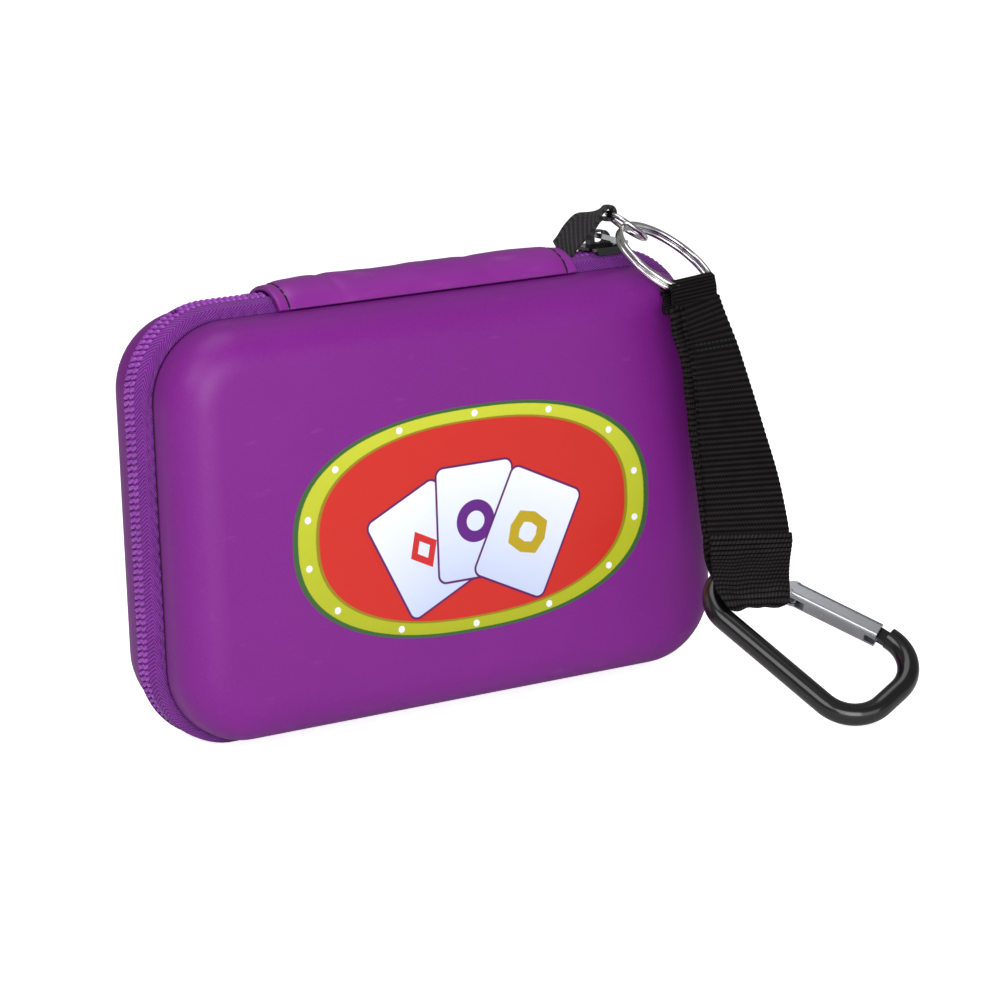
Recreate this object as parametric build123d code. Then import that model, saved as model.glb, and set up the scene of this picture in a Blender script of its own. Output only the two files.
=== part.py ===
from build123d import *
import math
import os

# Travel card game: a moulded zip case that stands on its zipper edge, with two decks inside and a
# carry strap with a small carabiner. Millimetres. X runs along the width, Y from front to back and
# Z up. The origin is on the surface that the case stands on, midway along it, between the two halves.

# Case, measured over the zipper coil, which is its outermost line
CASE_W = 150.0
CASE_H = 103.0
HALF_D = 20.5            # from the middle of the zipper to the front or back face
COIL_R = 21.0            # corner radius along the coil
SEAM_Y = 6.0             # where each shell is sewn to its zipper tape
SEAM_R = 17.9
SEAM_SIDE = 3.1          # how far the shells lie inside the coil line
SEAM_TOP = 3.6
SEAM_BOTTOM = 2.3
FACE_R = 10.0            # soft edge round the front and back faces
WALL = 3.0
FACE_WALL = 3.6
LINING_T = 0.5
BINDING_Y = 9.0          # inner edge of the binding tape that covers the seam inside

# Zipper
SLOT = 0.5               # half of the gap between the two rows of coil
COIL_Y = 2.3
COIL_T = 2.2
COIL_LIFT = 0.15         # the coil clears the surface that the tapes stand on
FLAT_Y = 4.2             # the tapes are flat to here along the bottom
TAPE_T = 0.8
BAND_END = 62.0          # the top run of the zipper stays shut between these
BAND_Z = 80.0
BAND_GAP = 0.3

# Leather strip over the hinge side
STRIP_L = -42.0
STRIP_R = 41.0
STRIP_T = 1.3
STRIP_RISE = 2.4         # above the coil line
STITCH_IN = 3.4          # from the strip's end to its stitched line
THREAD = 0.6

# Contents
CARD_W = 56.8
CARD_L = 88.9
DECK_T = 19.0
DECK_GAP = 2.0
DECK_Z = 6.1
CARD_R = 3.5
LEAFLET_W = 108.0
LEAFLET_H = 84.0
LEAFLET_T = 1.5
LEAFLET_Y = 9.8
LEAFLET_Z = 8.0

# Slider
SLIDER_X = 51.2
SLIDER_L = 9.4
SLIDER_HALF_W = 4.6
PLATE_Z = CASE_H + 0.3
PLATE_T = 0.8
PULL_PIN = (51.0, 0.0, 106.4)
PULL_DROOP = 18.0
PULL_L = 8.2
PULL_W = 5.4
PULL_T = 1.2

# Webbing tab that carries the small ring
TAB_T = 0.9
TAB_W = 5.8
TAB_Y = 0.8
TAB_PATH = [(41.5, 104.0), (43.4, 106.4), (46.6, 109.0), (50.2, 110.6), (53.6, 111.3)]
TAB_EYE_R = 1.15
TAB_EYE_W = 4.6

# Small ring through the tab
LINK_C = Vector(58.3, -1.3, 108.1)
LINK_DIR = Vector(0.701, -0.386, -0.600)
LINK_SIDE = Vector(0.347, 0.919, -0.185)
LINK_R = 5.5
LINK_WIRE = 1.2

# Split ring, two turns of wire
RING_C = Vector(62.1, -12.55, 100.55)
RING_DIR = Vector(0.1045, -0.8294, -0.5489)
RING_SIDE = Vector(0.936, 0.268, -0.2267)
RING_R = 13.1
RING_WIRE = 1.3

# Webbing strap, one band folded double round both rings
WEB_T = 0.9
BAND_T = 2.2
STRAP_W = 20.6
STRAP_TOP_W = 17.0
FOLD_ROOM = 1.5
FOLD_LOW = -0.3
BEND_GAP = 0.35
EYE_W = 8.5
EYE_R = 3.5
EYE_SLACK = 2.6

# Carabiner, laid out across and along its own plane from a point at its narrow end
CLIP_C = Vector(60.9, -43.5, 29.8)
CLIP_SIDE = Vector(0.905, 0.1105, 0.4107)
CLIP_LONG = Vector(0.3328, -0.7853, -0.5221)
CLIP_WIRE = 5.2
ARCH_C = (-4.2, 6.0)     # centre of the rounded narrow end
ARCH_R = 8.0
HANG = (0.75, -0.28)     # where the strap hangs on it
WIDE_POINTS = [(-12.2, 47.2), (13.9, 46.6)]
WIDE_R = 9.4
PIVOT = (5.2, 12.2)
NOSE = (12.4, 35.8)
GATE_L = 22.2
GATE_LEAN = 15.5
GATE_W = 4.4
GATE_D = 5.2
TONGUE_T = 2.2
PIN_R = 0.8
SPRING_R = 1.2


def loop(y, side, top, bottom, radius):
    """Rounded rectangle across the case at depth y, given its distances inside the coil line."""
    width = CASE_W - 2 * side
    height = CASE_H - top - bottom
    plane = Plane(origin=(0, y, bottom + height / 2), x_dir=(1, 0, 0), z_dir=(0, -1, 0))
    return plane * RectangleRounded(width, height, radius)


def seam_loop(y, inset):
    """The shell's own outline, moved in by a wall thickness."""
    return loop(y, SEAM_SIDE + inset, SEAM_TOP + inset, SEAM_BOTTOM + inset, SEAM_R - inset)


def tray(y, inset, depth, edge_radius):
    """Solid block behind the outline, its far edge rounded."""
    block = extrude(seam_loop(y, inset), amount=depth)
    return fillet(block.edges().group_by(Axis.Y)[0], edge_radius)


def half_shell():
    body = tray(-SEAM_Y, 0, HALF_D - SEAM_Y, FACE_R)
    body = fillet(body.edges().group_by(Axis.Y)[-1], 0.8)
    hollow = tray(-SEAM_Y, WALL, HALF_D - SEAM_Y - FACE_WALL, FACE_R - WALL)
    return body - hollow


def half_lining():
    depth = HALF_D - BINDING_Y - FACE_WALL
    outer = tray(-BINDING_Y, WALL, depth, FACE_R - WALL)
    inner = tray(-BINDING_Y, WALL + LINING_T, depth - LINING_T, FACE_R - WALL - LINING_T)
    return outer - inner


def half_binding():
    depth = BINDING_Y - SEAM_Y
    outer = extrude(seam_loop(-SEAM_Y, WALL), amount=depth)
    return outer - extrude(seam_loop(-SEAM_Y, WALL + LINING_T), amount=depth)


def tape_solid(t):
    """Block inside the tape's outer face, or its inner face when t is the tape's thickness."""
    edge = loop(-COIL_Y, 0.35 + t, 0.35 + t, t, COIL_R - 0.35 - t)
    flat = loop(-FLAT_Y, 1.4 + t, 1.6 + t, t, 19.5 - t)
    seam = loop(-SEAM_Y, SEAM_SIDE + t, SEAM_TOP + t, SEAM_BOTTOM + t, SEAM_R - t)
    return loft([edge, flat], ruled=True) + loft([flat, seam], ruled=True)


def half_tape():
    return tape_solid(0) - tape_solid(TAPE_T)


def half_coil():
    outer = extrude(loop(-SLOT, 0, 0, COIL_LIFT, COIL_R), amount=COIL_Y - SLOT)
    inner = loop(-SLOT, COIL_T, COIL_T, COIL_LIFT + COIL_T, COIL_R - COIL_T)
    hinge_side = Box(STRIP_R - STRIP_L + 4, 20, 30).moved(Location(((STRIP_L + STRIP_R) / 2, 0, CASE_H)))
    return outer - extrude(inner, amount=COIL_Y - SLOT) - hinge_side


def top_box(half_width):
    height = 40
    return Box(2 * half_width, 60, height).moved(Location((0, 0, BAND_Z + height / 2)))


def back(shape):
    return mirror(shape, about=Plane.XZ)


def strip_profile(t):
    """Outer line of the leather strip seen from its end, moved in by t."""
    low = CASE_H - SEAM_TOP + 0.15
    top = CASE_H + STRIP_RISE - t
    foot = SEAM_Y + 2.0
    half = [(foot - t * 0.3, low), (foot - 0.9 - t, low + 1.6), (4.4 - t * 0.6, top - 1.5), (0, top)]
    points = half + [(-y, z) for y, z in reversed(half[:-1])]
    return [Vector(0, y, z) for y, z in points]


def strip_stitches():
    lines = []
    for x in (STRIP_L + STITCH_IN, STRIP_R - STITCH_IN):
        outer = strip_band(-0.25, THREAD, x - THREAD / 2)
        lines.append(outer - strip_band(0.35, THREAD, x - THREAD / 2, solid=True))
    return lines


def strip_band(t, length, x0, solid=False):
    """The strip's cross-section filled down to its feet, from x0 for the given length."""
    points = strip_profile(t)
    curve = Spline(*points)
    face = make_face(Wire([curve.edge(), Line(points[-1], points[0]).edge()]))
    return extrude(face, amount=length, dir=(1, 0, 0)).moved(Location((x0, 0, 0)))


def hinge_strip(stitches):
    outer = strip_band(0, STRIP_R - STRIP_L, STRIP_L)
    strip = outer - strip_band(STRIP_T, STRIP_R - STRIP_L, STRIP_L)
    for line in stitches:
        strip = strip - line
    return strip


def spine_lining():
    """Lining cloth across the gap between the two halves, under the leather strip."""
    width = STRIP_R - STRIP_L
    x_mid = (STRIP_L + STRIP_R) / 2
    return Box(width, 2 * SEAM_Y - 0.4, 0.6).moved(Location((x_mid, 0, CASE_H - SEAM_TOP - 2.2)))


def stops():
    """The four end stops of the coil, beside the ends of the leather strip."""
    block = Box(1.6, 1.5, 1.7)
    places = [(x, y) for x in (STRIP_L - 1.0, STRIP_R + 1.0) for y in (-1.4, 1.4)]
    return [block.moved(Location((x, y, CASE_H - 1.0))) for x, y in places]


def deck(side):
    x = side * (DECK_GAP + CARD_W) / 2
    plane = Plane(origin=(x, -DECK_T / 2, DECK_Z + CARD_L / 2), x_dir=(1, 0, 0), z_dir=(0, 1, 0))
    return extrude(plane * RectangleRounded(CARD_W, CARD_L, CARD_R), amount=DECK_T)


def leaflet():
    y = LEAFLET_Y + LEAFLET_T / 2
    return Box(LEAFLET_W, LEAFLET_T, LEAFLET_H).moved(Location((0, y, LEAFLET_Z + LEAFLET_H / 2)))


def slider_body():
    z_mid = PLATE_Z + PLATE_T / 2
    top = Box(SLIDER_L, 2 * SLIDER_HALF_W, PLATE_T).moved(Location((SLIDER_X, 0, z_mid)))
    top = fillet(top.edges().filter_by(Axis.Z), 1.6)
    flange = Box(SLIDER_L - 3.2, 0.6, 1.3)
    for side in (-1, 1):
        y = side * (SLIDER_HALF_W - 0.3)
        top = top + flange.moved(Location((SLIDER_X, y, PLATE_Z - 0.35)))
    low_z = CASE_H - 4.7
    low = Box(SLIDER_L, 2 * SLIDER_HALF_W - 1.4, PLATE_T).moved(Location((SLIDER_X, 0, low_z)))
    low = fillet(low.edges().filter_by(Axis.Z), 1.6)
    post_h = PLATE_Z - low_z
    post = Box(1.8, 0.6, post_h).moved(Location((SLIDER_X - SLIDER_L / 2 + 1.6, 0, low_z + post_h / 2)))
    return top + low + post


def slider_crown():
    """Bridge on the slider that holds the pull."""
    base_z = PLATE_Z + PLATE_T
    height = PULL_PIN[2] - base_z + 1.4
    plane = Plane(origin=(PULL_PIN[0], -1.1, base_z), x_dir=(1, 0, 0), z_dir=(0, 1, 0))
    bridge = extrude(plane * Pos(0, -height / 2) * Rectangle(5.8, height), amount=2.2)
    bridge = fillet(bridge.edges().filter_by(Axis.Y).group_by(Axis.Z)[-1], 2.2)
    window = Plane(origin=(PULL_PIN[0], -2, PULL_PIN[2] - 0.35), x_dir=(1, 0, 0), z_dir=(0, 1, 0))
    return bridge - extrude(window * RectangleRounded(3.2, 2.7, 0.9), amount=4)


def slider_pull():
    """Short pull: a cross pin, a yoke round the bridge and a blade with a hole."""
    yoke = Box(5.0, PULL_W, PULL_T).moved(Location((1.9, 0, 0)))
    blade = Box(PULL_L - 3.4, PULL_W, PULL_T).moved(Location((3.4 + (PULL_L - 3.4) / 2, 0, 0)))
    body = yoke + blade
    body = body - Box(5.0, 2.8, 3).moved(Location((1.2, 0, 0)))
    body = fillet(body.edges().filter_by(Axis.Z).group_by(Axis.X)[-1], 2.2)
    body = body - Cylinder(1.1, 4).moved(Location((PULL_L - 2.4, 0, 0)))
    pin = Cylinder(0.6, PULL_W - 0.6, rotation=(90, 0, 0))
    body = body + pin
    return body.moved(Location(PULL_PIN, (0, PULL_DROOP, 0)))


def wrap(centre, direction, side, radius, thickness, half_width):
    """Curved tube round a ring's wire, centred where the direction meets the ring."""
    normal = direction.cross(side)
    half_angle = math.degrees(half_width / radius)
    start = direction.rotate(Axis((0, 0, 0), normal), -half_angle)
    along = normal.cross(start)
    plane = Plane(origin=centre + start * radius, x_dir=start, z_dir=along)
    return revolve(plane * Circle(thickness), axis=Axis(centre, normal), revolution_arc=2 * half_angle)


def ring_tab():
    points = [Vector(x, TAB_Y, z) for x, z in TAB_PATH]
    path = Spline(*points)
    start = Plane(origin=points[0], x_dir=(0, 1, 0), z_dir=path % 0)
    band = sweep(start * Rectangle(TAB_W, TAB_T), path=path)
    eye = (LINK_C, -LINK_DIR, -LINK_SIDE, LINK_R)
    band = band + wrap(*eye, TAB_EYE_R + TAB_T, TAB_EYE_W / 2)
    return band - wrap(*eye, TAB_EYE_R, TAB_EYE_W / 2 + 2)


def ring(centre, direction, side, radius, wire, turns):
    """Closed wire ring, with its turns lying side by side."""
    normal = direction.cross(side)
    solid = None
    for turn in range(turns):
        offset = (turn - (turns - 1) / 2) * (wire - 0.05)
        section_c = centre + direction * radius + normal * offset
        section = Plane(origin=section_c, x_dir=direction, z_dir=side) * Circle(wire / 2)
        one = revolve(section, axis=Axis(centre, normal), revolution_arc=360)
        solid = one if solid is None else solid + one
    return solid


def strap_section(centre, along, across, width):
    return Plane(origin=centre, x_dir=across, z_dir=along) * Rectangle(width, BAND_T)


def on_clip(point, lift=0.0):
    """Point of the carabiner's own plane in the object's frame."""
    normal = CLIP_SIDE.cross(CLIP_LONG)
    return CLIP_C + CLIP_SIDE * point[0] + CLIP_LONG * point[1] + normal * lift


def strap_stations():
    """Centre, direction, width direction and width of the band, from the ring to the carabiner."""
    foot = on_clip(HANG) + Vector(0.3, 0.4, 3.9)
    return [
        (strap_hinge(), Vector(0.09, -0.57, -0.82), RING_SIDE, STRAP_TOP_W + 0.6),
        (Vector(64.7, -27.9, 88.0), Vector(0.10, -0.40, -0.91), Vector(0.93, 0.35, -0.12), 18.8),
        (Vector(65.8, -29.2, 81.8), Vector(0.10, -0.27, -0.96), Vector(0.905, 0.415, -0.089), 20.0),
        (Vector(67.2, -31.6, 70.0), Vector(0.03, -0.29, -0.96), Vector(0.96, 0.265, -0.096), STRAP_W),
        (Vector(66.8, -35.6, 55.8), Vector(-0.05, -0.28, -0.96), Vector(0.995, 0.091, -0.037), STRAP_W),
        (Vector(65.9, -39.4, 42.8), Vector(-0.12, -0.26, -0.96), Vector(0.986, -0.165, 0.027), STRAP_W),
        (Vector(64.3, -41.8, 36.2), Vector(-0.40, -0.22, -0.89), Vector(0.987, -0.162, 0.020), 18.0),
        (foot, Vector(-0.15, -0.10, -0.98), Vector(0.917, -0.400, 0.0), EYE_W + 2),
    ]


def slot_tube(centre, across, down, radius, shift, stretch, width):
    """Flat tube along the across direction, its section stretched by the given length."""
    plane = Plane(origin=centre - across * (width / 2), x_dir=down, z_dir=across)
    return extrude(plane * Pos(shift, 0) * SlotCenterToCenter(stretch, 2 * radius), amount=width)


def strap_ring_fold():
    """Pocket of webbing that holds the split ring, a bend's width above the rest of the strap."""
    hang = RING_C + RING_DIR * RING_R
    rise = RING_R - math.sqrt(RING_R ** 2 - (STRAP_TOP_W / 2) ** 2)
    upper = FOLD_ROOM - rise - RING_WIRE / 2 - 0.2
    tube = (hang, RING_SIDE, RING_DIR)
    span = ((upper + FOLD_LOW) / 2, FOLD_LOW - upper)
    outer = slot_tube(*tube, FOLD_ROOM + WEB_T, *span, STRAP_TOP_W)
    return outer - slot_tube(*tube, FOLD_ROOM, *span, STRAP_TOP_W + 2)


def strap_hinge():
    """Middle of the bend between the pocket and the strap below it."""
    reach = RING_R + FOLD_LOW + FOLD_ROOM + WEB_T + BEND_GAP + BAND_T / 2
    return RING_C + RING_DIR * reach


def strap_webbing(stitches):
    """Flat double band from the bend below the ring to its loop round the carabiner."""
    inward = (CLIP_SIDE * (ARCH_C[0] - HANG[0]) + CLIP_LONG * (ARCH_C[1] - HANG[1])).normalized()
    eye_axis = inward.cross(CLIP_SIDE.cross(CLIP_LONG)).normalized()
    clip_tube = (on_clip(HANG), eye_axis, inward)
    clip_span = (EYE_SLACK / 2, EYE_SLACK)
    strap = loft([strap_section(*station) for station in strap_stations()], ruled=True)
    top = Plane(origin=strap_hinge() - RING_SIDE * (STRAP_TOP_W / 2), x_dir=RING_DIR, z_dir=RING_SIDE)
    strap = strap + extrude(top * Circle(BAND_T / 2 + 0.06), amount=STRAP_TOP_W)
    strap = strap + slot_tube(*clip_tube, EYE_R + WEB_T, *clip_span, EYE_W)
    strap = strap - slot_tube(*clip_tube, EYE_R, *clip_span, EYE_W + 8)
    for line in stitches:
        strap = strap - line
    return strap


def strap_stitches():
    """Two sewn lines across the strap, at its folded ends."""
    lines = []
    for centre, along, across, width in (strap_stations()[2], strap_stations()[5]):
        plane = Plane(origin=centre, x_dir=across, z_dir=along)
        line = extrude(plane * Rectangle(width - 3, BAND_T + 0.5), amount=THREAD / 2, both=True)
        lines.append(line)
    return lines


def clip_plane():
    return Plane(origin=CLIP_C, x_dir=CLIP_SIDE, z_dir=CLIP_SIDE.cross(CLIP_LONG))


def gate_place():
    return clip_plane() * Pos(*PIVOT) * Rot(0, 0, -GATE_LEAN)


def carabiner_frame():
    """Bent rod from the gate's hinge round both ends to the nose that the gate closes on."""
    arch_x, arch_y = ARCH_C
    right = (arch_x + ARCH_R, arch_y)
    left = (arch_x - ARCH_R, arch_y)
    tongue = (PIVOT[0] - 0.9, PIVOT[1] - 3.2)
    top = ThreePointArc(right, (arch_x, arch_y - ARCH_R), left)
    bottom = FilletPolyline(left, *WIDE_POINTS, NOSE, radius=WIDE_R)
    path = Wire([Line(tongue, right), top, *bottom.edges()])
    start = Plane(origin=path @ 0, x_dir=(0, 0, 1), z_dir=path % 0)
    rod = sweep(start * Circle(CLIP_WIRE / 2), path=path, transition=Transition.ROUND)
    hinge = Pos(*PIVOT) * Rot(0, 0, -GATE_LEAN)
    lug = Pos(0, -2.0) * Box(4.0, 5.0, TONGUE_T) + Cylinder(2.0, TONGUE_T)
    lug = lug - Cylinder(PIN_R, 10)
    nose = Pos(*NOSE) * Rot(0, 0, -9) * Pos(-0.6, -1.5) * Box(CLIP_WIRE - 2.0, 4.0, TONGUE_T - 0.4)
    return clip_plane() * (rod + hinge * lug + nose)


def carabiner_gate():
    bar = Pos(0, GATE_L / 2) * Box(GATE_W, GATE_L, GATE_D)
    bar = fillet(bar.edges().filter_by(Axis.Y), 1.1)
    bar = bar + Cylinder(GATE_W / 2, GATE_D - 0.8)
    bar = bar - Box(9, 7.4, TONGUE_T + 0.4)
    bar = bar - Pos(0, GATE_L) * Box(9, 5.4, TONGUE_T)
    bar = bar - Cylinder(PIN_R, 10)
    bar = bar - Pos(0, 9.5) * Cylinder(SPRING_R + 0.1, 12, rotation=(90, 0, 0))
    return gate_place() * bar


def gate_pin():
    return gate_place() * Cylinder(PIN_R, GATE_D - 0.2)


def gate_spring():
    """Small spring in the gate's bore, which presses on the frame's lug."""
    tube = Cylinder(SPRING_R, 10.6, rotation=(90, 0, 0)) - Cylinder(SPRING_R - 0.4, 12, rotation=(90, 0, 0))
    return gate_place() * Pos(0, 9.3) * tube


def nodes():
    tape = half_tape()
    coil = half_coil()
    shell = half_shell()
    lining = half_lining()
    binding = half_binding()
    band = top_box(BAND_END)
    band_clear = top_box(BAND_END + BAND_GAP)
    strip_lines = strip_stitches()
    strap_lines = strap_stitches()
    return {
        "front_shell": shell,
        "front_lining": lining,
        "front_binding": binding,
        "front_zipper_tape": tape,
        "front_zipper_coil": coil,
        "back_shell": back(shell),
        "back_lining": back(lining),
        "back_binding": back(binding),
        "back_zipper_tape": back(tape) - band_clear,
        "back_zipper_coil": back(coil) - band_clear,
        "top_band_tape": back(tape) & band,
        "top_band_coil": back(coil) & band,
        "zipper_stops": stops(),
        "hinge_strip": hinge_strip(strip_lines),
        "hinge_strip_stitching": strip_lines,
        "spine_lining": spine_lining(),
        "card_deck_left": deck(-1),
        "card_deck_right": deck(1),
        "rules_leaflet": leaflet(),
        "slider_body": slider_body(),
        "slider_crown": slider_crown(),
        "slider_pull": slider_pull(),
        "ring_tab": ring_tab(),
        "link_ring": ring(LINK_C, LINK_DIR, LINK_SIDE, LINK_R, LINK_WIRE, 1),
        "split_ring": ring(RING_C, RING_DIR, RING_SIDE, RING_R, RING_WIRE, 2),
        "strap_ring_fold": strap_ring_fold(),
        "strap_webbing": strap_webbing(strap_lines),
        "strap_stitching": strap_lines,
        "carabiner_frame": carabiner_frame(),
        "gate_pin": gate_pin(),
        "carabiner_gate": carabiner_gate(),
        "gate_spring": gate_spring(),
    }


def write(parts):
    os.makedirs("parts", exist_ok=True)
    for name, shape in parts.items():
        solids = shape if isinstance(shape, list) else [shape]
        solids = [solid for piece in solids for solid in piece.solids()]
        export_step(Compound(children=solids) if len(solids) > 1 else solids[0], f"parts/{name}.step")
        volume = sum(solid.volume for solid in solids)
        print(f"{name}: {len(solids)} solids, {volume:.1f} mm3")


write(nodes())
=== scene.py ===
import bpy
import bmesh
import math
from mathutils import Matrix, Vector, noise


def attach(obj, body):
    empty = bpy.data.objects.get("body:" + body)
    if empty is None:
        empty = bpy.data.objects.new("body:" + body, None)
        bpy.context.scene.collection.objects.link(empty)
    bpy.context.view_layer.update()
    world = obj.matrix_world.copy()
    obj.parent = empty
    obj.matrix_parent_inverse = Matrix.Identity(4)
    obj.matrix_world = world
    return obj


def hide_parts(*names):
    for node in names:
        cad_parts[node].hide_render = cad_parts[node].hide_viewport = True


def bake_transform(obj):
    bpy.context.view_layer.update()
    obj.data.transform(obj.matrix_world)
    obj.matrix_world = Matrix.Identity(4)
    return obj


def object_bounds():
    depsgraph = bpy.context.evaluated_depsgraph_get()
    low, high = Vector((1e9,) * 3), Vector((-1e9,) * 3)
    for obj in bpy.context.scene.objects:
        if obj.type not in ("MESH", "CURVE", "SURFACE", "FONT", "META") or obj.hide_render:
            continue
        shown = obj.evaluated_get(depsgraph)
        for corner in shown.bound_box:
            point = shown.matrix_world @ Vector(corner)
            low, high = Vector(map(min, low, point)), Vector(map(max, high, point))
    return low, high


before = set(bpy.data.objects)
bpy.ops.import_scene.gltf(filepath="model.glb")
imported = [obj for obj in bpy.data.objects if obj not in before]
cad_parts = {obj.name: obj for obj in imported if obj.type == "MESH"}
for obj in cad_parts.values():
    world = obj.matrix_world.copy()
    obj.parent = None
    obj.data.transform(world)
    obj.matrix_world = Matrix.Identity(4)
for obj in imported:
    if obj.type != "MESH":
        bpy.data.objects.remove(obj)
frameLow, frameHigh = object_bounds()
print("frame loaded", list(frameLow), list(frameHigh))

# Lengths in the settings are millimetres, and the scene is in metres
mm = 0.001

# Distance between two ribs of the strap, for its shape and its finish alike
webbingPitch = 1.32

# The case, as the CAD has it: size over the zipper, and rows of (depth, side, top, bottom, corner radius)
case = {
    "width": 150.0, "height": 103.0, "seam": (6.0, 3.1, 3.6, 2.3, 17.9),
    "flat": (4.2, 1.4, 1.6, 0.0, 19.5), "edge": (2.3, 0.35, 0.35, 0.0, 20.65),
    "bandAngle": 24.4,
}


def mathNode(kind, turned=False):
    # Makes the method of a number that adds one math node
    def method(self, *others):
        values = (*others, self) if turned else (self, *others)
        return self.finish.math(kind, *values)
    return method


# Number nodes, written as sums
class Num:
    __add__ = mathNode("ADD")
    __radd__ = mathNode("ADD", turned=True)
    __sub__ = mathNode("SUBTRACT")
    __rsub__ = mathNode("SUBTRACT", turned=True)
    __mul__ = mathNode("MULTIPLY")
    __rmul__ = mathNode("MULTIPLY", turned=True)
    __truediv__ = mathNode("DIVIDE")
    __pow__ = mathNode("POWER")
    lowest = mathNode("MINIMUM")
    highest = mathNode("MAXIMUM")
    size = mathNode("ABSOLUTE")
    part = mathNode("FRACT")
    whole = mathNode("FLOOR")

    def __init__(self, finish, socket):
        self.finish = finish
        self.socket = socket

    def wave(self):
        return self.finish.math("SINE", self * (2 * math.pi))

    def above(self, low, high):
        return self.finish.step(self, low, high)


# One material, with its shader and the nodes that feed it
class Finish:
    def __init__(self, name, **fixed):
        self.material = bpy.data.materials.new(name)
        self.material.use_nodes = True
        self.tree = self.material.node_tree
        self.shader = self.tree.nodes["Principled BSDF"]
        for socket, value in fixed.items():
            self.shader.inputs[socket.replace("_", " ")].default_value = value

    def put(self, socket, value):
        if isinstance(value, Num):
            self.tree.links.new(value.socket, socket)
        else:
            socket.default_value = value

    def node(self, kind, settings=None, values=None, out=0):
        made = self.tree.nodes.new(kind)
        for key, value in (settings or {}).items():
            setattr(made, key, value)
        for key, value in (values or {}).items():
            self.put(made.inputs[key], value)
        return Num(self, made.outputs[out])

    def math(self, kind, *values):
        return self.node("ShaderNodeMath", {"operation": kind}, dict(enumerate(values)))

    def step(self, value, low, high):
        settings = {"interpolation_type": "SMOOTHSTEP"}
        return self.node("ShaderNodeMapRange", settings, {0: value, 1: low, 2: high})

    def mix(self, share, first, second):
        values = {0: share, 6: first, 7: second}
        return self.node("ShaderNodeMix", {"data_type": "RGBA"}, values, 2)

    def place(self):
        return self.node("ShaderNodeTexCoord", out=3)

    def split(self, vector):
        made = self.tree.nodes.new("ShaderNodeSeparateXYZ")
        self.put(made.inputs[0], vector)
        return [Num(self, socket) for socket in made.outputs]

    def axes(self, vector):
        return [length * 1000 for length in self.split(vector)]

    def surface(self):
        return self.split(self.node("ShaderNodeUVMap", {"uv_map": "UVMap"}))[:2]

    def noise(self, grain, detail=2.0, stretch=(1, 1, 1)):
        scaled = self.node("ShaderNodeMapping", None, {0: self.place(), 3: stretch})
        values = {"Vector": scaled, "Scale": 1 / (grain * mm), "Detail": detail}
        return self.node("ShaderNodeTexNoise", None, values)

    def random(self, value):
        return self.node("ShaderNodeTexWhiteNoise", {"noise_dimensions": "1D"}, {"W": value})

    def colour(self, value):
        self.put(self.shader.inputs["Base Color"], value)

    def rough(self, value):
        self.put(self.shader.inputs["Roughness"], value)

    def bump(self, height, depth, strength=1.0):
        values = {"Height": height, "Distance": depth * mm, "Strength": strength}
        self.put(self.shader.inputs["Normal"], self.node("ShaderNodeBump", None, values))


def tone(red, green, blue):
    shares = [value / 255 for value in (red, green, blue)]
    return tuple(s / 12.92 if s < 0.04045 else ((s + 0.055) / 1.055) ** 2.4 for s in shares) + (1.0,)


# Printed badge on the front: an oval plaque with a fan of three cards.
# Rings are shares of the plaque's half width, and the pairs that end in "Edge" are where a layer fades out
badge = {
    "x": 2.6, "z": 47.6, "halfWidth": 48.0,
    "halfHeight": 27.0, "roundness": 2.4, "faceEdge": (-20.44, -20.36),
    "outlineEdge": (0.995, 1.003), "limeEdge": (0.967, 0.975),
    "rimEdge": (0.872, 0.88), "fieldEdge": (0.855, 0.863), "studs": 14,
    "studTurn": 12, "studRing": 0.925, "studEdge": (0.75, 0.9),
}
# The cards fan out from a foot below the plaque, and the middle one stands a little higher
fan = {
    "leans": (-26, 0, 26), "foot": 34, "reaches": (32.0, 33.5, 32.0),
    "halfWidth": 8.2, "halfHeight": 11.6, "borderEdge": (2.25, 2.4),
    "paperEdge": (1.7, 1.85), "pipEdge": (5.0, 5.15), "holeEdge": (2.3, 2.45),
    "tints": ((204, 44, 44), (96, 34, 128), (186, 160, 30)),
}


def ovalReach(angle):
    # How far the oval with a reach of one lies from its middle, in this direction
    power = badge["roundness"]
    return (abs(math.cos(angle)) ** power + abs(math.sin(angle)) ** power) ** (1 / power)


def badgeLayers(f, base, x, y, z):
    power = badge["roundness"]
    across = (x - badge["x"]) / badge["halfWidth"]
    up = (z - badge["z"]) / badge["halfHeight"]
    wobble = f.noise(0.4, 1.0) * 0.004
    far = (across.size() ** power + up.size() ** power) ** (1 / power) + wobble
    onFace = 1 - y.above(*badge["faceEdge"])
    inside = (1 - far.above(*badge["outlineEdge"])) * onFace
    lime = f.mix((z - 20) / 60, tone(176, 184, 34), tone(214, 220, 62))
    limeDark = f.mix(f.noise(0.25) * 0.35, lime, tone(120, 130, 20))
    colour = f.mix(inside, base, tone(58, 96, 52))
    rings = {"limeEdge": limeDark, "rimEdge": tone(146, 128, 24), "fieldEdge": tone(200, 44, 36)}
    for edge, tint in rings.items():
        colour = f.mix((1 - far.above(*badge[edge])) * onFace, colour, tint)
    # Row of pale studs round the lime rim
    for turn in range(badge["studs"]):
        angle = math.radians(turn * 360 / badge["studs"] + badge["studTurn"])
        reach = badge["studRing"] / ovalReach(angle)
        studX = badge["x"] + badge["halfWidth"] * reach * math.cos(angle)
        studZ = badge["z"] + badge["halfHeight"] * reach * math.sin(angle)
        gap = ((x - studX) * (x - studX) + (z - studZ) * (z - studZ)) ** 0.5
        colour = f.mix((1 - gap.above(*badge["studEdge"])) * onFace, colour, tone(236, 240, 250))
    for number in range(len(fan["leans"])):
        colour = badgeCard(f, colour, onFace, x, z, number)
    return colour, inside


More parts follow.
